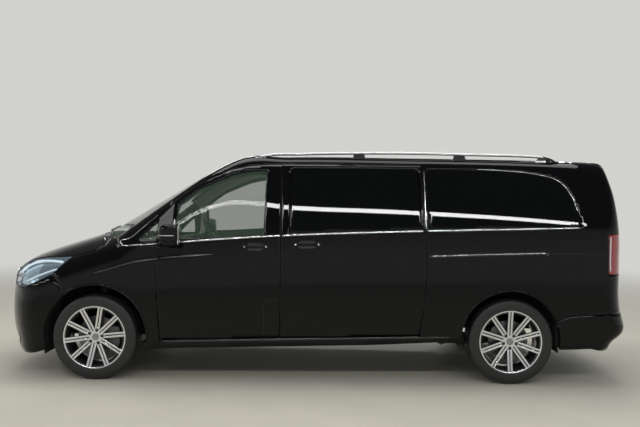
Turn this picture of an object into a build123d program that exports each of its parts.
from build123d import *
import os

# An extra-long passenger van: front towards -X, left side towards -Y, ground at Z 0, sizes in mm

# Overall sizes
length = 5370.0
front_overhang = 895.0
wheelbase = 3430.0
nose_x = -length / 2
tail_x = length / 2
front_axle_x = nose_x + front_overhang
rear_axle_x = front_axle_x + wheelbase
half_track_front = 833.0
half_track_rear = 823.0

# Depths measured inwards from the outer skin
door_depth = 60.0
jamb_gap = 5.0
jamb_depth = door_depth + jamb_gap
seat_gap = 0.3
sash_depth = 30.0
sash_base = 1168.0
wall_depth = 108.0
lid_depth = 30.0
cowl_depth = 40.0
glass_depth = 4.0
glass_thickness = 5.0
shut_gap = 6.0
lid_gap = 9.0

# Wheels
tyre_radius = 351.0
tyre_width = 245.0
flange_radius = 258.5
barrel_radius = 244.0
spindle_radius = 30.0
pin_clearance = 0.3

# Steering axis, from the lower ball joint to the top of the strut, on the left side
ball_joint = Vector(front_axle_x, -765.0, 230.0)
strut_top = Vector(front_axle_x, -600.0, 850.0)

# Hinge axes
door_hinge_x, door_hinge_y = -1266.0, 956.0
door_hinge_heights = (560.0, 880.0)
door_pin_radius = 4.0
hinge_half_height = 38.0
bonnet_hinge_x, bonnet_hinge_z = -1700.0, 1105.0
bonnet_pin_radius = 6.0
gate_seam_x = 2335.0
gate_hinge_x, gate_hinge_z = gate_seam_x + lid_gap + 13.0, 1858.0
gate_hinge_y = 520.0
gate_pin_radius = 5.0

# Jacking pads under the sills
JACK_STATIONS = (-1150.0, 940.0)
jack_pad_y = 880.0

# Heights of the floor
floor_top = 470.0
floor_depth = 30.0


def sill_z(x):
    """Height of the sill's lower edge at a station."""
    return 300.0 + 0.027 * x


def door_base_z(x):
    """Height of the doors' lower edge at a station."""
    return 369.0 + 0.026 * x


# Centre profile in side view: columns are x, z
lip = (nose_x + 35, 235.0)
nose_low = (nose_x, 430.0)
nose_high = (nose_x + 4, 720.0)
bonnet_front = (nose_x + 105, 960.0)
bonnet_mid = (-2240.0, 1092.0)
cowl = (-1870.0, 1210.0)
header_start = (-900.0, 1788.0)
header_mid = (-735.0, 1856.0)
header_end = (-520.0, 1930.0)
spoiler = (2505.0, 1930.0)
gate_top = (2512.0, 1845.0)
gate_mid = (2598.0, 1540.0)
gate_belt = (2646.0, 1240.0)
gate_low = (2650.0, 700.0)
bumper_high = (tail_x - 2, 540.0)
bumper_low = (tail_x, 420.0)
tail_lip = (tail_x - 90, 340.0)

# How the centre profile goes round the corners: columns are distance from the centre plane,
# nose set back, screen set back, tail set forward, bonnet drop
LATERAL = [
    (0.0, 0.0, 0.0, 0.0, 0.0),
    (350.0, 22.0, 38.0, 8.0, 14.0),
    (650.0, 118.0, 130.0, 34.0, 50.0),
    (860.0, 262.0, 230.0, 110.0, 92.0),
    (1000.0, 420.0, 315.0, 235.0, 128.0),
]


def profile_wire(y, nose_back, screen_back, tail_in, drop, inset):
    """Side profile at one distance from the centre plane, moved inwards by inset."""
    nb, sb, ti, i = nose_back, screen_back, tail_in, inset
    a = Vector(lip[0] + nb + i, 0, 100)
    b = Vector(lip[0] + nb + i, 0, lip[1])
    c = Vector(nose_low[0] + nb + i, 0, nose_low[1])
    d = Vector(nose_high[0] + nb + i, 0, nose_high[1])
    e = Vector(bonnet_front[0] + nb + i * 0.7, 0, bonnet_front[1] - drop - i * 0.7)
    f = Vector(bonnet_mid[0] + (nb + sb) / 2, 0, bonnet_mid[1] - drop - i)
    g = Vector(cowl[0] + sb, 0, cowl[1] - drop - i)
    h = Vector(header_start[0] + sb * 0.7 + i * 0.5, 0, header_start[1] - i)
    j = Vector(header_mid[0] + sb * 0.6 + i * 0.2, 0, header_mid[1] - i)
    k = Vector(header_end[0] + sb * 0.5, 0, header_end[1] - i * 0.5)
    m = Vector(spoiler[0] - ti - i, 0, spoiler[1])
    n = Vector(gate_top[0] - ti - i, 0, gate_top[1])
    o = Vector(gate_mid[0] - ti - i, 0, gate_mid[1])
    p = Vector(gate_belt[0] - ti - i, 0, gate_belt[1])
    q = Vector(gate_low[0] - ti - i, 0, gate_low[1])
    r = Vector(bumper_high[0] - ti - i, 0, bumper_high[1])
    s = Vector(bumper_low[0] - ti - i, 0, bumper_low[1])
    t = Vector(tail_lip[0] - ti - i, 0, tail_lip[1])
    u = Vector(tail_lip[0] - ti - i, 0, 100)
    nose_mid = d + (e - d) * 0.5 + Vector(-28, 0, 22)
    edges = [
        Line(a, b),
        Line(b, c),
        Line(c, d),
        ThreePointArc(d, nose_mid, e),
        ThreePointArc(e, f, g),
        Line(g, h),
        ThreePointArc(h, j, k),
        Line(k, m),
        Line(m, n),
        ThreePointArc(n, o, p),
        Line(p, q),
        Line(q, r),
        Line(r, s),
        Line(s, t),
        Line(t, u),
        Line(u, a),
    ]
    return Wire(edges).moved(Location((0, y, 0)))


def profile_form(inset):
    """The van's profile lofted across its width, with the rounded nose, screen and tail."""
    rows = [(-y, *rest) for y, *rest in LATERAL[:0:-1]] + LATERAL
    return Solid.make_loft([profile_wire(*row, inset) for row in rows], ruled=False)


# Cross-section stations: columns are x, half width of the lower body, height of the belt,
# height of the roof or bonnet at the centre, half width of the roof edge
STATIONS = [
    (-2760.0, 872.0, 930.0, 990.0, 800.0),
    (-2250.0, 938.0, 1015.0, 1105.0, 830.0),
    (-1870.0, 960.0, 1065.0, 1230.0, 815.0),
    (-1460.0, 964.0, 1110.0, 1480.0, 800.0),
    (-1080.0, 964.0, 1140.0, 1712.0, 775.0),
    (-690.0, 964.0, 1170.0, 1880.0, 752.0),
    (-200.0, 964.0, 1210.0, 1895.0, 748.0),
    (800.0, 964.0, 1253.0, 1895.0, 748.0),
    (1900.0, 962.0, 1285.0, 1885.0, 740.0),
    (2350.0, 948.0, 1293.0, 1873.0, 722.0),
    (2760.0, 915.0, 1300.0, 1855.0, 690.0),
]


def section_wire(x, width, belt, top, edge, inset):
    """Cross-section at one station: sill, bulged side, leaning upper side, rounded roof edge."""
    i = inset
    base = sill_z(x)
    rise = max(top - 118 - belt, 18)
    lean = (width - 27 - edge) * 0.36
    low = (width - 24 - i, base)
    mid = (width - i, base + (belt - base) * 0.52)
    waist = (width - 27 - i, belt)
    side = (width - 27 - lean - i, belt + rise * 0.5)
    shoulder = (edge + 42 - i, belt + rise)
    corner = (edge + 12 - i * 0.8, belt + rise + (top - 27 - belt - rise) * 0.62 - i * 0.5)
    roof = (edge - 60 - i * 0.6, top - 27 - i)
    crown = (0, top - i)

    def at(q, sign=1):
        return Vector(x, sign * q[0], q[1])

    edges = [
        Line(at(low), at(low, -1)),
        ThreePointArc(at(low, -1), at(mid, -1), at(waist, -1)),
        ThreePointArc(at(waist, -1), at(side, -1), at(shoulder, -1)),
        ThreePointArc(at(shoulder, -1), at(corner, -1), at(roof, -1)),
        ThreePointArc(at(roof, -1), at(crown), at(roof)),
        ThreePointArc(at(roof), at(corner), at(shoulder)),
        ThreePointArc(at(shoulder), at(side), at(waist)),
        ThreePointArc(at(waist), at(mid), at(low)),
    ]
    return Wire(edges)


def section_form(inset):
    """The cross-sections lofted along the van."""
    return Solid.make_loft([section_wire(*row, inset) for row in STATIONS], ruled=True)


def form(inset):
    """The van's outer form moved inwards by inset, as one solid."""
    return profile_form(inset) & section_form(inset)


# Helpers
def side(points, y0=-1200.0, y1=0.0):
    """A side-view outline (x, z) run across the van from y0 to y1."""
    face = Face(Wire.make_polygon([(x, y0, z) for x, z in points]))
    return Solid.extrude(face, Vector(0, y1 - y0, 0))


def plan(points, z0=0.0, z1=2100.0):
    """A plan outline (x, y) run from z0 up to z1."""
    face = Face(Wire.make_polygon([(x, y, z0) for x, y in points]))
    return Solid.extrude(face, Vector(0, 0, z1 - z0))


def plug(points, y0=-1010.0, y1=-560.0):
    """A tapered side-view outline: columns x, z, skin half width, x slope, where the slope
    moves the edge forwards for each mm inwards from the skin."""
    outer = [(x + k * (abs(y0) - s), y0, z) for x, z, s, k in points]
    inner = [(x + k * (abs(y1) - s), y1, z) for x, z, s, k in points]
    return Solid.make_loft([Wire.make_polygon(outer), Wire.make_polygon(inner)], ruled=True)


def gate_plug(points, x0, x1, slope=0.12):
    """A tapered rear-view outline: columns half width, z; the sides close in towards the front."""
    def ring(x, shrink):
        left = [(x, -(w - shrink), z) for w, z in points]
        right = [(x, (w - shrink), z) for w, z in reversed(points)]
        return Wire.make_polygon(left + right)
    return Solid.make_loft([ring(x0, slope * (x1 - x0)), ring(x1, 0.0)], ruled=True)


def box(x0, x1, y0, y1, z0, z1):
    """A box between two corners."""
    b = Solid.make_box(x1 - x0, y1 - y0, z1 - z0)
    return b.moved(Location((x0, y0, z0)))


def rod(start, end, radius):
    """A round bar between two points."""
    a, b = Vector(*start), Vector(*end)
    return Solid.make_cylinder(radius, (b - a).length, Plane(origin=a, z_dir=(b - a)))


def both(shape):
    """The left-hand solids and their mirror images on the right."""
    return Compound(list(shape.solids()) + list(shape.mirror(Plane.XZ).solids()))


def right(shape):
    """The mirror image on the right-hand side."""
    return Compound(list(shape.mirror(Plane.XZ).solids()))


def join(*shapes):
    """All shapes made one."""
    first = shapes[0]
    for s in shapes[1:]:
        first = first + s
    return first


def revolve_y(points):
    """A closed outline (distance from the axis, y) turned round the Y axis through the origin."""
    face = Face(Wire.make_polygon([(0, y, r) for r, y in points]))
    return Solid.revolve(face, 360, Axis.Y)


def rounded_ring(y, x0, x1, z0, z1, radius):
    """A rectangle with round corners in the plane at y, as a wire."""
    k = radius * (1 - 0.7071)

    def at(x, z):
        return Vector(x, y, z)

    edges = [
        Line(at(x0 + radius, z0), at(x1 - radius, z0)),
        ThreePointArc(at(x1 - radius, z0), at(x1 - k, z0 + k), at(x1, z0 + radius)),
        Line(at(x1, z0 + radius), at(x1, z1 - radius)),
        ThreePointArc(at(x1, z1 - radius), at(x1 - k, z1 - k), at(x1 - radius, z1)),
        Line(at(x1 - radius, z1), at(x0 + radius, z1)),
        ThreePointArc(at(x0 + radius, z1), at(x0 + k, z1 - k), at(x0, z1 - radius)),
        Line(at(x0, z1 - radius), at(x0, z0 + radius)),
        ThreePointArc(at(x0, z0 + radius), at(x0 + k, z0 + k), at(x0 + radius, z0)),
    ]
    return Wire(edges)


def pull_handle(x0, x1, z):
    """A pull handle that stands out of the door skin: a round bar with round ends."""
    bar = rod((x0, handle_y, z), (x1, handle_y, z), handle_radius)
    ends = [Solid.make_sphere(handle_radius, angle1=-90, angle2=90, angle3=360).moved(Location((x, handle_y, z)))
            for x in (x0, x1)]
    return join(bar, *ends)


def save(name, shape):
    """Write one node."""
    export_step(Compound(list(shape.solids())), f"parts/{name}.step")


os.makedirs("parts", exist_ok=True)
left_half = box(-3000, 3000, -1300, 0, 0, 2200)
F = {i: form(i) & left_half for i in (0, glass_depth, glass_depth + glass_thickness, lid_depth,
     cowl_depth, door_depth, door_depth + seat_gap, jamb_depth - seat_gap, jamb_depth, wall_depth)}
skin = F[0]
wall = skin - F[wall_depth]
lid = skin - F[lid_depth]
leaf = skin - F[door_depth]
pane = F[glass_depth] - F[glass_depth + glass_thickness]
pocket = box(-3000, 3000, -1300, 0, 0, 2200) - F[jamb_depth]

# Outlines of the front door and of the sliding door on the left side:
# columns are x, z, half width of the skin there, forward slope of the edge towards the inside
door_slope = 0.30
DOOR = [
    (-1252.0, door_base_z(-1252), 944.0, 0.0),
    (-1274.0, 640.0, 962.0, 0.0),
    (-1289.0, 1019.0, 952.0, 0.0),
    (-1262.0, 1120.0, 938.0, 0.0),
    (-1205.0, 1150.0, 930.0, 0.0),
    (-1180.0, 1474.0, 840.0, 0.0),
    (-1150.0, 1504.0, 830.0, 0.0),
    (-965.0, 1634.0, 800.0, 0.0),
    (-805.0, 1704.0, 790.0, 0.0),
    (-680.0, 1750.0, 780.0, 0.0),
    (-530.0, 1782.0, 775.0, 0.0),
    (-385.0, 1794.0, 772.0, 0.0),
    (-264.0, 1796.0, 772.0, door_slope),
    (-264.0, 1500.0, 878.0, door_slope),
    (-264.0, 1205.0, 937.0, door_slope),
    (-264.0, 760.0, 964.0, door_slope),
    (-264.0, door_base_z(-264), 944.0, door_slope),
]
SLIDING = [
    (-258.0, door_base_z(-258), 944.0, door_slope),
    (-258.0, 760.0, 964.0, door_slope),
    (-258.0, 1205.0, 937.0, door_slope),
    (-258.0, 1500.0, 878.0, door_slope),
    (-258.0, 1800.0, 770.0, door_slope),
    (905.0, 1804.0, 770.0, 0.0),
    (918.0, 1266.0, 930.0, 0.0),
    (935.0, 1102.0, 950.0, 0.0),
    (937.0, 896.0, 962.0, 0.0),
    (930.0, 706.0, 964.0, 0.0),
    (901.0, 524.0, 955.0, 0.0),
    (888.0, door_base_z(888), 945.0, 0.0),
]


def grown(points, dx_front, dx_rear, dz_low, dz_high):
    """A door outline moved outwards to make its aperture."""
    xm = (min(p[0] for p in points) + max(p[0] for p in points)) / 2
    zm = (min(p[1] for p in points) + max(p[1] for p in points)) / 2
    out = []
    for x, z, s, k in points:
        out.append((x + (dx_rear if x > xm else -dx_front), z + (dz_high if z > zm else -dz_low), s, k))
    return out


door_plug = plug(DOOR)
door_hole = plug(grown(DOOR, shut_gap, 6.0, shut_gap, shut_gap))
slide_plug = plug(SLIDING)
slide_hole = plug(grown(SLIDING, 6.0, shut_gap, shut_gap, shut_gap))

# Through openings inside the jambs, in side view
DOORWAY = [(-1215, 430), (-1238, 640), (-1246, 990), (-1165, 1160), (-1135, 1450), (-940, 1590),
           (-790, 1662), (-670, 1706), (-528, 1737), (-330, 1748), (-330, 430)]
SLIDEWAY = [(-190, 440), (-190, 1752), (850, 1756), (868, 1266), (885, 1100), (885, 896),
            (878, 706), (850, 540), (838, 450)]

# Windows in side view
DOOR_GLASS = [(-1130, 1168), (-1130, 1450), (-944, 1589), (-786, 1659), (-670, 1707), (-528, 1738),
              (-385, 1747), (-398, 1212), (-931, 1177)]
SLIDE_GLASS = [(-190, 1226), (-190, 1764), (880, 1768), (900, 1266)]
QUARTER_LIGHT = [(-1441, 1148), (-1341, 1252), (-1287, 1300), (-1287, 1152)]
REAR_GLASS = [(962, 1268), (948, 1768), (1403, 1771), (1742, 1755), (1953, 1721), (2037, 1693),
              (2103, 1636), (2151, 1551), (2189, 1432), (2207, 1335), (2207, 1300)]

# Lines between the panels in side view
bonnet_line = [(-2800, 925), (-2640, 930), (-2450, 962), (-2299, 985), (-2010, 1010), (-1807, 1062),
               (-1757, 1098)]
bonnet_side = side(bonnet_line + [(-1757, 1500), (-2800, 1500)])
bonnet_rear = plan([(-2800, 0), (-1918, 0), (-1880, -350), (-1790, -650), (-1757, -790), (-1757, -1100),
                    (-2800, -1100)])
bonnet_gap_side = side([(x, z - shut_gap) for x, z in bonnet_line[:-1]]
                       + [(-1757 + lid_gap, 1098 - shut_gap), (-1757 + lid_gap, 1500), (-2800, 1500)])
bonnet_gap_rear = plan([(-2800, 0), (-1918 + lid_gap, 0), (-1880 + lid_gap, -350), (-1790 + lid_gap, -650),
                        (-1757 + lid_gap, -790), (-1757 + lid_gap, -1100), (-2800, -1100)])
lamp_tip = (-2022, 1003)
lamp_side = side([(-2760, 752), (-2396, 752), (-2256, 815), (-2157, 865), (-2087, 936), lamp_tip,
                  (-2299, 979), (-2450, 956), (-2640, 924), (-2760, 920)], -1200, -560)
bumper_side = side([(-2800, 100), (-1940, 100), (-1974, 688), (-2066, 725), (-2091, 794), (-2157, 865),
                    (-2087, 936), lamp_tip, (-2299, 979), (-2450, 956), (-2640, 924), (-2800, 919)])
wing_side = side([(-1940, 100), (-1240, 100), (-1258, 330), (-1280, 640), (-1295, 1019), (-1252, 1129),
                  (-1568, 1100), (-1660, 1100), (-1640, 1260), (-1790, 1260), (-2010, 1010), lamp_tip,
                  (-2087, 936), (-2157, 865), (-2091, 794), (-2066, 725), (-1974, 688)])
front_arch_clear = rod((front_axle_x, -1200, 356), (front_axle_x, -820, 356), 441)
front_arch = rod((front_axle_x, -1200, 356), (front_axle_x, -480, 356), 425)
rear_arch = rod((rear_axle_x, -1200, 360), (rear_axle_x, -640, 360), 408)

# Windscreen and roof in plan: the lower and upper edges of the glass
screen_low = [(-1850, 0), (-1812, -350), (-1722, -650), (-1690, -745)]
screen_high = [(-830, -655), (-845, -350), (-880, 0)]
screen_plan = plan(screen_low + screen_high, 1000)
roof_plan = plan([(-880, 0), (-845, -350), (-830, -655), (gate_seam_x, -655), (gate_seam_x, 0)], 1500)
cowl_plan = plan([(-1990, 0), (-1950, -350), (-1850, -650), (-1830, -715), (-1695, -715), (-1722, -650),
                  (-1812, -350), (-1850, 0)], 900)

# Tailgate in rear view: columns are half width, z
GATE = [(768.0, 600.0), (775.0, 1240.0), (746.0, 1500.0), (660.0, 1800.0), (642.0, 1960.0)]
gate_region = gate_plug(GATE, gate_seam_x + lid_gap, 2800.0)
GATE_HOLE = [(774.0, 592.0), (781.0, 1240.0), (754.0, 1500.0), (676.0, 1800.0), (660.0, 1960.0)]
gate_hole = gate_plug(GATE_HOLE, gate_seam_x, 2800.0)
GATE_GLASS = [(690.0, 1262.0), (668.0, 1500.0), (600.0, 1765.0)]
gate_window = gate_plug(GATE_GLASS, 2300.0, 2800.0, 0.0)
bumper_rear = side([(2035, 100), (2035, 530), (2109, 568), (2444, 592), (2800, 592), (2800, 100)])
lamp_rear = side([(2436, 918), (2434, 1240), (2800, 1262), (2800, 908), (2450, 905)], -1200, -784)

# Root body: outer panels
grille_low, grille_high, grille_half = 560.0, 905.0, 520.0
grille_border, grille_bar, grille_slot = 18.0, 20.0, 45.0
INTAKE = [(400.0, 296.0), (470.0, 400.0), (440.0, 480.0)]
intake_bar_heights = (338.0, 390.0, 442.0)
grille_side = side([(-2800, grille_low), (-2550, grille_low), (-2550, grille_high), (-2800, grille_high)],
                   -grille_half, 0)
bumper = (leaf & bumper_side) - lamp_side - front_arch - bonnet_gap_side - grille_side
bumper = bumper - gate_plug(INTAKE, -2800, -2500, 0.0)
louvres = [box(-2800, -2500, -grille_half, 0, z - 7, z + 7) for z in intake_bar_heights]
bumper = bumper + ((F[glass_depth + glass_thickness] - F[lid_depth]) & join(*louvres) & bumper_side)
save("front_bumper", bumper + bumper.mirror(Plane.XZ))
slots = [box(-2800, -2500, -grille_half + grille_border, -grille_border / 2, z, z + grille_slot)
         for z in [grille_low + grille_border + n * (grille_bar + grille_slot) for n in range(5)]]
grille = ((F[glass_depth] - F[cowl_depth]) & grille_side) - join(*slots)
save("grille", grille + grille.mirror(Plane.XZ))
headlamps = (leaf & lamp_side) - bonnet_gap_side
save("headlamps", both(headlamps))

hinge_shelf = box(bonnet_hinge_x - 22, bonnet_hinge_x + 22, -935, -752, bonnet_hinge_z - 20, bonnet_hinge_z + 14)
bonnet_gap = bonnet_gap_side & bonnet_gap_rear
wing_inner_cut = side([(-2000, 1040), (-1640, 1040), (-1640, 1400), (-2000, 1400)], -765, 0)
wings = (lid & wing_side) - front_arch - lamp_side - bumper_side - bonnet_gap - screen_plan - door_hole
wings = (wings - wing_inner_cut) + (hinge_shelf & F[glass_depth + glass_thickness])
wings = wings + rod((bonnet_hinge_x, -756, bonnet_hinge_z), (bonnet_hinge_x, -727, bonnet_hinge_z),
                    bonnet_pin_radius)
save("front_wings", both(wings))

screen_rest = plan(screen_low + [(x + 20, y) for x, y in reversed(screen_low)], 900)
screen_rest = screen_rest & box(-3000, 0, -725, 0, 0, 2000)
cowl_panel = ((F[cowl_depth] - F[door_depth]) & cowl_plan) + (
    (F[glass_depth + glass_thickness] - F[door_depth]) & screen_rest)
save("cowl_panel", cowl_panel + cowl_panel.mirror(Plane.XZ))
screen = pane & screen_plan
save("windscreen", screen + screen.mirror(Plane.XZ))

bonnet = (lid & bonnet_side) & bonnet_rear
arm = side([(-1865, 1180), (-1775, 1180), (-1686, 1118), (-1686, 1091), (-1714, 1091), (-1865, 1085)],
           -745, -735) & F[glass_depth]
bonnet = (bonnet + arm) - rod((bonnet_hinge_x, -800, bonnet_hinge_z), (bonnet_hinge_x, -700, bonnet_hinge_z),
                              bonnet_pin_radius + pin_clearance)
save("bonnet", bonnet + bonnet.mirror(Plane.XZ))

gate_lug = box(gate_seam_x - 20, gate_hinge_x + 6, -gate_hinge_y - 14, -gate_hinge_y + 14,
               gate_hinge_z - 10, gate_hinge_z + 6)
gate_pin = rod((gate_hinge_x, -gate_hinge_y - 34, gate_hinge_z), (gate_hinge_x, -gate_hinge_y + 34, gate_hinge_z),
               gate_pin_radius)
roof = (leaf & roof_plan) + gate_lug + gate_pin
save("roof_panel", roof + roof.mirror(Plane.XZ))

side_region = side([(-1640, 100), (1010, 100), (1010, 2000), (-1640, 2000)], -1200, 0)
outside = plan([(-1640, -1200), (1010, -1200), (1010, -655), (-830, -655), (-1690, -745)], 0)
aperture = (door_hole & pocket) + (slide_hole & pocket) + side(DOORWAY) + side(SLIDEWAY) + side(REAR_GLASS)
frame = (wall & side_region & outside) - aperture - wing_side - front_arch
frame = frame - side(QUARTER_LIGHT)
for z in door_hinge_heights:
    pin = rod((door_hinge_x, -door_hinge_y, z - hinge_half_height), (door_hinge_x, -door_hinge_y,
              z + hinge_half_height), door_pin_radius)
    plate = box(door_hinge_x - 5, door_hinge_x + 5, -door_hinge_y - 4, -890, z - 14, z + 14)
    frame = frame + pin + plate
for x in JACK_STATIONS:
    frame = frame + box(x - 45, x + 45, -jack_pad_y - 30, -jack_pad_y + 30, sill_z(x) - 16, sill_z(x) + 12)
save("side_frame_left", frame)
save("side_frame_right", right(frame))

quarter_region = side([(1010, 100), (2800, 100), (2800, 2000), (1010, 2000)], -1200, 0)
quarter_plan = plan([(1010, -1200), (2800, -1200), (2800, -640), (gate_seam_x, -640), (gate_seam_x, -655),
                     (1010, -655)], 0)
quarter = (wall & quarter_region & quarter_plan) - rear_arch - bumper_rear - lamp_rear - gate_hole
quarter = quarter - side(REAR_GLASS)
save("rear_quarter_left", quarter)
save("rear_quarter_right", right(quarter))

handle_y, handle_radius = -951.0, 12.0
DOOR_HANDLE = (-575.0, -365.0, 1110.0)
SLIDE_HANDLE = (-155.0, 68.0, 1131.0)
sliding = ((skin - F[jamb_depth - seat_gap]) & slide_plug & box(-300, 1000, -1000, -690, 0, 2000)) - side(SLIDE_GLASS)
sliding = sliding + pull_handle(*SLIDE_HANDLE)
save("sliding_door_left", sliding)
save("sliding_door_right", right(sliding))
side_glass = [pane & side(QUARTER_LIGHT), pane & side(SLIDE_GLASS), pane & side(REAR_GLASS)]
save("side_glass", both(Compound([s for g in side_glass for s in g.solids()])))

rear_bumper = (wall & bumper_rear) - rear_arch - gate_hole
save("rear_bumper", rear_bumper + rear_bumper.mirror(Plane.XZ))
save("tail_lamps", both(leaf & lamp_rear))

# Front doors
below_sash = box(-1400, 0, -1200, 0, 0, sash_base)
door = ((leaf & below_sash) + ((skin - F[sash_depth]) - below_sash)) & door_plug
door = door - side(DOOR_GLASS)
for z in door_hinge_heights:
    door = door - rod((door_hinge_x, -door_hinge_y, z - hinge_half_height - 2), (door_hinge_x, -door_hinge_y,
                      z + hinge_half_height + 2), door_pin_radius + pin_clearance)
    door = door - box(door_hinge_x - 60, door_hinge_x + 10, -1000, -880, z - 19, z + 19)
door = door + pull_handle(*DOOR_HANDLE)
save("door_left", door)
save("door_right", right(door))
door_glass = pane & side(DOOR_GLASS)
save("door_glass_left", door_glass)
save("door_glass_right", right(door_glass))
mirror_arm = side([(-1190, 1105), (-1110, 1110), (-1100, 1175), (-1185, 1170)], -1010, -925) - F[0]
# Mirror housing: columns are y, front x, rear x, low z, high z, corner radius
MIRROR = [
    (-985.0, -1190.0, -1105.0, 1128.0, 1232.0, 24.0),
    (-1020.0, -1224.0, -1100.0, 1116.0, 1282.0, 34.0),
    (-1080.0, -1220.0, -1099.0, 1114.0, 1296.0, 36.0),
    (-1120.0, -1178.0, -1102.0, 1140.0, 1280.0, 26.0),
]
mirror_shell = Solid.make_loft([rounded_ring(*row) for row in MIRROR], ruled=False)
mirror_recess = box(-1108, -1080, -1112, -1000, 1136, 1278)
mirror = (mirror_shell - mirror_recess) + mirror_arm
save("mirror_left", mirror)
save("mirror_right", right(mirror))

# Tailgate
half_gate = gate_region & left_half
gate_notch = box(gate_seam_x - 30, gate_hinge_x + 17, -gate_hinge_y - 19, -gate_hinge_y + 19, 1700, 2000)
gate_bore = rod((gate_hinge_x, -gate_hinge_y - 40, gate_hinge_z), (gate_hinge_x, -gate_hinge_y + 40, gate_hinge_z),
                gate_pin_radius + pin_clearance)
gate = (leaf & half_gate) - gate_window - gate_notch - gate_bore
save("tailgate", gate + gate.mirror(Plane.XZ))
gate_glass = pane & gate_window
save("tailgate_glass", gate_glass + gate_glass.mirror(Plane.XZ))

# Roof rails
rail_outer, rail_inner = -722.0, -690.0
RAIL_TOP = [(-512, 1846), (-470, 1872), (-391, 1891), (-118, 1903), (308, 1915), (733, 1919), (1320, 1913),
            (1839, 1903), (1915, 1900), (2000, 1880), (2080, 1840)]
RAIL_UNDER = [(1990, 1850), (1900, 1874), (1320, 1888), (733, 1894), (-118, 1879), (-380, 1866), (-430, 1846)]
rail_foot_stations, rail_foot_length = (330.0, 1180.0), 110.0
feet = [box(x, x + rail_foot_length, rail_outer + 2, rail_inner - 2, 1830, 1896) for x in rail_foot_stations]
rail = join(side(RAIL_TOP + RAIL_UNDER, rail_outer, rail_inner), *feet) - F[0]
save("roof_rails", both(rail))

# Floor, bulkhead and wheel housings
house_wall = 8.0
front_house_radius, rear_house_radius = 442.0, 416.0
front_house_y, rear_house_y = -496.0, -668.0
tower_radius, tower_roof = 70.0, 856.0


def housing(x, z, radius, inner_y, low):
    """A wheel housing: half a drum over the wheel, closed by a wall on its inner side."""
    band = rod((x, -900, z), (x, inner_y + house_wall, z), radius + house_wall) - rod(
        (x, -1000, z), (x, inner_y, z), radius)
    return band & box(x - 600, x + 600, -950, 0, low, 1300)


floor_under = floor_top - floor_depth
rear_drum = rod((rear_axle_x, -1200, 360), (rear_axle_x, rear_house_y, 360), rear_house_radius)
plate = (box(-1340, 2560, -900, 0, floor_under, floor_top) & F[wall_depth]) - rear_drum
rear_house = housing(rear_axle_x, 360, rear_house_radius, rear_house_y, floor_under) & F[wall_depth]
rail_bar = side([(-1340, 330), (980, 330), (1050, 384), (2440, 384), (2440, floor_under), (-1340, floor_under)],
                -450, -390)
cross = [box(x, x + 70, -900, -330, 345, floor_under) & F[wall_depth] for x in (-900, -100, 700)]
dash_wall = box(-1340, -1316, -900, 0, floor_top, 1040) & F[wall_depth]
bore = rod((front_axle_x, -620, 600), (front_axle_x, -620, tower_roof), tower_radius)
front_house = housing(front_axle_x, 356, front_house_radius, front_house_y, 300) & F[lid_depth]
front_house = front_house - (bumper_side - F[door_depth + seat_gap])
tower = rod((front_axle_x, -620, 780), (front_axle_x, -620, tower_roof + 12), tower_radius + 12)
front_house = (join(front_house, tower) - bore) - front_arch_clear
front_house = front_house - box(-1340, -1200, -1000, 0, 0, 1300)
chassis = [box(-2480, -1340, -484, -424, 400, 500), box(-2520, -2470, -560, 0, 380, 560)]
underframe = join(rail_bar, *chassis, *cross) - front_arch_clear - front_house
save("floor_pan", plate + plate.mirror(Plane.XZ))
save("underframe", underframe + underframe.mirror(Plane.XZ))
save("bulkhead", dash_wall + dash_wall.mirror(Plane.XZ))
save("wheel_housings", Compound(list(both(front_house).solids()) + list(both(rear_house - plate).solids())))

# Wheels, modelled round the origin with the outer side towards -Y
half = tyre_width / 2
tread = [(barrel_radius + 0.3, -109.7), (flange_radius, -109.7), (flange_radius + 0.3, -118.0), (278, -half + 1),
         (300, -half), (322, -half + 3), (338, -111), (346, -101), (350, -60), (tyre_radius, 0)]
tyre = revolve_y(tread + [(r, -y) for r, y in reversed(tread[:-1])])
rim_profile = [(barrel_radius, -110), (flange_radius, -110), (flange_radius, -117), (236, -117), (232, -100),
               (210, -60), (210, 60), (232, 100), (236, 117), (flange_radius, 117), (flange_radius, 110),
               (barrel_radius, 110), (barrel_radius, 80), (222, 60), (222, -60), (barrel_radius, -80)]
barrel = revolve_y(rim_profile)
hub_disc = rod((0, -78, 0), (0, -55, 0), 74) - rod((0, -100, 0), (0, 0, 0), 33)
spokes = []
for n in range(10):
    for lean in (-5.5, 5.5):
        angle = n * 36.0 + lean
        bar = Solid.make_loft([
            Wire.make_polygon([(-9, -80, 60), (9, -80, 60), (9, -58, 60), (-9, -58, 60)]),
            Wire.make_polygon([(-6, -112, 236), (6, -112, 236), (6, -84, 236), (-6, -84, 236)]),
        ], ruled=True)
        spokes.append(bar.rotate(Axis.Y, angle))
rim = join(barrel, hub_disc, *spokes)
hat = revolve_y([(spindle_radius + pin_clearance, -55), (74, -55), (74, -16), (164, -16), (164, 12), (66, 12),
                 (66, -46), (48, -46), (48, 32), (spindle_radius + pin_clearance, 32)])
WHEELS = [("front_left", front_axle_x, -half_track_front), ("rear_left", rear_axle_x, -half_track_rear)]
for name, x, y in WHEELS:
    place = Location((x, y, tyre_radius))
    for kind, shape in (("tyre", tyre), ("rim", rim), ("disc", hat)):
        placed = shape.moved(place)
        save(f"{kind}_{name}", placed)
        save(f"{kind}_{name.replace('left', 'right')}", right(placed))

# Steered knuckles, front and rear suspension
axis_dir = (strut_top - ball_joint).normalized()


def on_axis(z):
    """The point of the left steering axis at a height."""
    return ball_joint + axis_dir * ((z - ball_joint.Z) / axis_dir.Z)


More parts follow.
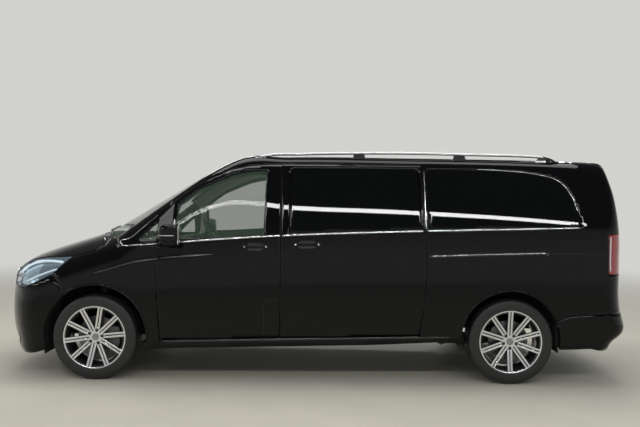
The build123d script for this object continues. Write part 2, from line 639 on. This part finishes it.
hub_y = -half_track_front
stud_radius = 11.0
leg_radius = 24.0
leg_bottom = 520.0
lower_eye = rod(on_axis(219), on_axis(256), 26)
upper_eye = rod(on_axis(leg_bottom - 6), on_axis(leg_bottom + 62), 38)
web = side([(front_axle_x - 24, 214), (front_axle_x + 24, 214), (front_axle_x + 40, 351),
            (front_axle_x + 24, 575), (front_axle_x - 24, 575), (front_axle_x - 40, 351)], -772, -670)
web_cut = side([(front_axle_x - 100, 260), (front_axle_x + 100, 260), (front_axle_x + 100, 500),
                (front_axle_x - 100, 500)], -715, -640)
spindle = rod((front_axle_x, hub_y - 44, tyre_radius), (front_axle_x, -700, tyre_radius), spindle_radius)
calliper = box(front_axle_x + 100, front_axle_x + 190, hub_y - 46, hub_y + 68, tyre_radius - 80, tyre_radius + 80)
calliper = calliper & rod((front_axle_x, -1000, tyre_radius), (front_axle_x, -700, tyre_radius), 196)
calliper = calliper - (rod((front_axle_x, hub_y - 22, tyre_radius), (front_axle_x, hub_y + 18, tyre_radius), 171))
calliper_arm = box(front_axle_x, front_axle_x + 130, hub_y + 38, hub_y + 68, tyre_radius - 30, tyre_radius + 30)
knuckle = join(web & rod(on_axis(180), on_axis(620), 62), spindle, lower_eye, upper_eye, calliper_arm, calliper)
knuckle = knuckle - rod(on_axis(150), on_axis(280), stud_radius + pin_clearance)
knuckle = knuckle - rod(on_axis(leg_bottom - 2), on_axis(700), leg_radius + pin_clearance)
save("knuckle_left", knuckle)
save("knuckle_right", right(knuckle))

arm_y = -430.0
arm_plate = plan([(front_axle_x - 30, -790), (front_axle_x + 30, -790), (front_axle_x + 32, -600),
                  (front_axle_x + 190, arm_y), (front_axle_x + 130, arm_y), (front_axle_x, -560),
                  (front_axle_x - 60, arm_y), (front_axle_x - 110, arm_y), (front_axle_x - 32, -600)], 186, 206)
stud = rod(on_axis(196), on_axis(258), stud_radius)
leg = rod(on_axis(leg_bottom), on_axis(880), leg_radius)
spring = rod(on_axis(640), on_axis(836), 46)
subframe = box(front_axle_x - 150, front_axle_x + 230, -440, 0, 196, 260) - box(
    front_axle_x - 90, front_axle_x + 170, -380, 380, 150, 300) + box(front_axle_x - 130, front_axle_x - 90,
    -440, 0, 196, 260)
posts = [box(x, x + 40, -470, -425, 196, 400) for x in (front_axle_x - 150, front_axle_x + 190)]
front_sus = join(arm_plate, stud, subframe, *posts)
front_sus = front_sus + front_sus.mirror(Plane.XZ)
strut = (leg + spring) & box(-3000, 0, -900, 0, 0, tower_roof)
save("front_suspension", Compound(list(front_sus.solids()) + list(both(strut).solids())))

rear_y = -half_track_rear
carrier = rod((rear_axle_x, rear_y - 44, tyre_radius), (rear_axle_x, -690, tyre_radius), spindle_radius)
rear_arm = side([(rear_axle_x - 560, 285), (rear_axle_x - 560, 345), (rear_axle_x - 40, 410), (rear_axle_x + 60, 390),
                 (rear_axle_x + 60, 310), (rear_axle_x - 40, 300)], -690, -630)
cross_tube = rod((rear_axle_x - 530, -690, 305), (rear_axle_x - 530, 0, 305), 28)
damper = rod((rear_axle_x + 40, -620, 340), (rear_axle_x + 40, -620, floor_under), 28)
damper_foot = box(rear_axle_x + 10, rear_axle_x + 60, -650, -590, 330, 352)
axle_box = rod((rear_axle_x, -660, tyre_radius), (rear_axle_x, 0, tyre_radius), 26)
differential_radius = 84.0
differential = rod((rear_axle_x, -120, tyre_radius), (rear_axle_x, 0, tyre_radius), differential_radius)
rear_sus = join(carrier, rear_arm, cross_tube, damper_foot, damper, axle_box, differential)
save("rear_suspension", rear_sus + rear_sus.mirror(Plane.XZ))

# Engine block with its radiator, and the exhaust
engine_rear = -1420.0
engine = box(-2300, engine_rear, -330, 330, 330, 960) + box(-2440, -2400, -360, 360, 380, 900) + box(
    -2400, -2300, -200, 200, 420, 700) + box(-2200, -1450, -420, 420, 300, 400) + box(
    -1900, -1820, -424, 424, 420, 480)
save("engine", engine)
PIPE = [(-1300, 180, 385), (750, 180, 385), (950, 180, 411), (1900, 180, 411), (2440, 340, 370)]
pipe_radius = 28.0
pipe = [rod(a, b, pipe_radius) for a, b in zip(PIPE, PIPE[1:])]
elbows = [Solid.make_sphere(pipe_radius, angle1=-90, angle2=90, angle3=360).moved(Location(q)) for q in PIPE[1:-1]]
exhaust = join(*pipe, *elbows, box(180, 640, 60, 300, 325, 428), box(380, 440, 150, 210, 428, floor_under))
save("exhaust", exhaust)

# Propeller shaft with its centre bearing, and the fuel tank between the sills' rails
shaft_radius, bearing_x, bearing_z = 26.0, 80.0, 400.0
shaft = join(rod((engine_rear, 0, 400), (bearing_x, 0, bearing_z), shaft_radius),
             rod((bearing_x, 0, bearing_z), (rear_axle_x - differential_radius - seat_gap, 0, tyre_radius),
                 shaft_radius),
             rod((bearing_x - 30, 0, bearing_z), (bearing_x + 30, 0, bearing_z), 38),
             box(bearing_x - 25, bearing_x + 25, -60, 60, bearing_z, floor_under))
save("propshaft", shaft)
TANK = [(-760, 330), (-700, 300), (560, 300), (620, 330), (620, floor_under), (-760, floor_under)]
tank = side(TANK, -322, -70)
save("fuel_tank", tank)

# Cabin
DASH = [(-1620, 1050), (-1316, 1045), (-1316, 740), (-1200, 700), (-1140, 800), (-1120, 980), (-1150, 1075),
        (-1330, 1118), (-1590, 1128)]
dash_plan = plan([(-1640, -690), (-1500, -690), (-1380, -790), (-1050, -790), (-1050, 790), (-1380, 790),
                  (-1500, 690), (-1640, 690)])
HOOD = [(-1290, 1100), (-1262, 1148), (-1190, 1166), (-1122, 1150), (-1128, 1060)]
binnacle = side(HOOD, -560, -240)
centre_screen = box(-1160, -1136, -130, 130, 1040, 1168)
dashboard = join(side(DASH, -790, 790) & dash_plan, binnacle, centre_screen)
column = rod((-1135, -400, 1010), (-905, -400, 1150), 32)
console = box(-1316, -1160, -90, 90, floor_top, 760)
wheel_place = Location((-880, -400, 1165), (0, 58, 0))
wheel_ring = Solid.make_torus(178, 15, Plane.XY).moved(wheel_place)
wheel_hub = Solid.make_cylinder(52, 44, Plane.XY).moved(Location((0, 0, -30))).moved(wheel_place)
wheel_bars = [Solid.make_box(172, 26, 12).moved(Location((0, -13, -12))).rotate(Axis.Z, a).moved(wheel_place)
              for a in (0, 90, 270)]
steering_wheel = join(wheel_ring, wheel_hub, *wheel_bars)
save("steering_wheel", steering_wheel)
save("dashboard", join(dashboard, column, console) - steering_wheel)


# Seat outlines in side view from the seat's own reference point: cushion, backrest, headrest
CUSHION = [(-262, -95), (-268, -40), (-245, -8), (-190, 0), (120, -22), (215, -30), (240, -130), (-230, -130)]
BACKREST = [(168, -92), (205, -60), (262, 120), (318, 400), (352, 555), (392, 572), (432, 556), (400, 400),
            (352, 150), (300, -92)]
HEADREST = [(360, 592), (352, 650), (378, 728), (410, 738), (440, 722), (452, 650), (430, 592)]
bolster_width, bolster_rise = 62.0, 24.0


def seat(x, y, width, z):
    """One seat: pedestal, cushion and backrest with side bolsters, headrest on two posts."""
    def shape(points, y0, y1, dx=0.0, dz=0.0):
        return side([(x + px + dx, z + pz + dz) for px, pz in points], y0, y1)

    half_seat = width / 2
    foot = box(x - 170, x + 200, y - half_seat + 60, y + half_seat - 60, floor_top, z - 130)
    parts = [foot, shape(CUSHION, y - half_seat, y + half_seat), shape(BACKREST, y - half_seat, y + half_seat),
             shape(HEADREST, y - 128, y + 128)]
    for edge in (y - half_seat, y + half_seat - bolster_width):
        parts.append(shape([(px, pz) for px, pz in CUSHION if px < 200], edge, edge + bolster_width, 0, bolster_rise))
        parts.append(shape(BACKREST[1:6], edge, edge + bolster_width, -bolster_rise, 0))
    parts += [rod((x + 392, y + d, z + 540), (x + 404, y + d, z + 610), 8) for d in (-60, 60)]
    return join(*parts)


save("front_seats", Compound([s for y in (-410, 410) for s in seat(-640, y, 520, 880).solids()]))
rows = [(330, y) for y in (-520, 0, 520)] + [(1330, y) for y in (-430, 0, 430)]
save("rear_seats", Compound([s for x, y in rows for s in seat(x, y, 440, 870).solids()]))
